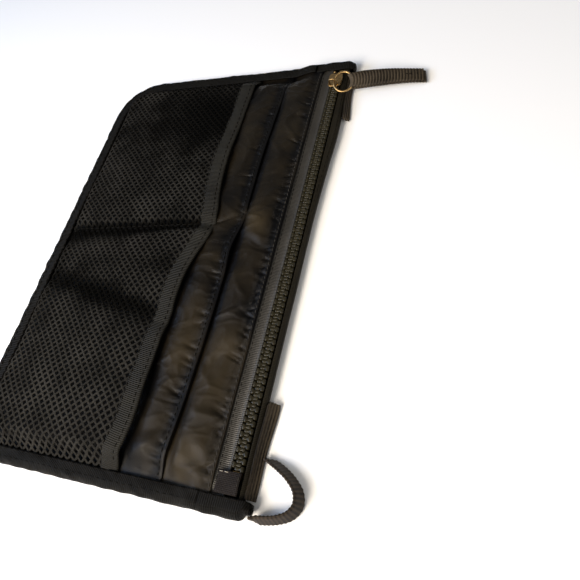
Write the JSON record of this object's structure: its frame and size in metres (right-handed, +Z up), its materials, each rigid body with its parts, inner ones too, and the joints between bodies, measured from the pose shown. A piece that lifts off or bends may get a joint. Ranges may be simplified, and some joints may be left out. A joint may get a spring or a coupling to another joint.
{
  "type": "cable organizer pouch",
  "caption": "Flat zipped fabric pouch lying on its back, with tiered open pockets on its front, mesh pockets below them, a bound edge and a ring pull with a webbing tail.",
  "frame": {"origin": "on the underside of the back panel, in the middle of the bound outline", "axes": "+X along the zipper, from its open end towards its closed end; +Y across the pouch, towards the zipper; +Z up, out of the pocket side"},
  "size_m": [0.254, 0.2041, 0.0133],
  "materials": {
    "fabric": "plain woven nylon, matt",
    "taffeta": "thin coated taffeta, soft sheen",
    "mesh": "open diamond net over taffeta",
    "grosgrain": "ribbed binding tape, matt",
    "zip_tape": "satin woven zipper tape",
    "teeth": "moulded, semi-gloss",
    "webbing": "ribbed webbing, matt",
    "brass": "antique gold, worn"
  },
  "bodies": {
    "pouch": {"back_panel": "fabric", "front_panel": "fabric", "pocket_a": "taffeta", "pocket_b": "taffeta", "mesh_pockets": "mesh", "mesh_mouth_tape": "grosgrain", "edge_binding": "grosgrain", "corner_cap_near": "grosgrain", "corner_cap_far": "grosgrain", "zip_tape_front": "zip_tape", "zip_tape_back": "zip_tape", "zip_teeth_front": "teeth", "zip_teeth_back": "teeth", "bottom_stop": "brass", "top_stop_front": "brass", "top_stop_back": "brass", "zip_end_patch": "webbing", "side_tab_near": "webbing", "side_tab_far": "webbing"},
    "slider": {"zip_slider": "brass"},
    "ring": {"pull_ring": "brass"},
    "pull": {"pull_webbing": "webbing"},
    "loop": {"hang_loop": "webbing"}
  },
  "joints": [
    {"name": "zip_slide", "type": "slide", "parent": "pouch", "child": "slider", "axis": [1, 0, 0], "range_m": [0, 0.202], "deforming": ["zip_teeth_front", "zip_teeth_back"]},
    {"name": "ring_swing", "type": "hinge", "parent": "slider", "child": "ring", "pos_m": [-0.107, 0.0741, 0.00932], "axis": [1, 0, 0], "range_deg": [0, 140]},
    {"name": "pull_swivel", "type": "hinge", "parent": "ring", "child": "pull", "pos_m": [-0.107, 0.07966, 0.00864], "axis": [0.4384, 0.1095, 0.8921], "range_deg": [-2, 50]},
    {"name": "loop_swing", "type": "hinge", "parent": "pouch", "child": "loop", "pos_m": [0.1135, 0.0823, 0.0093], "axis": [1, 0, 0], "range_deg": [0, 75]}
  ]
}
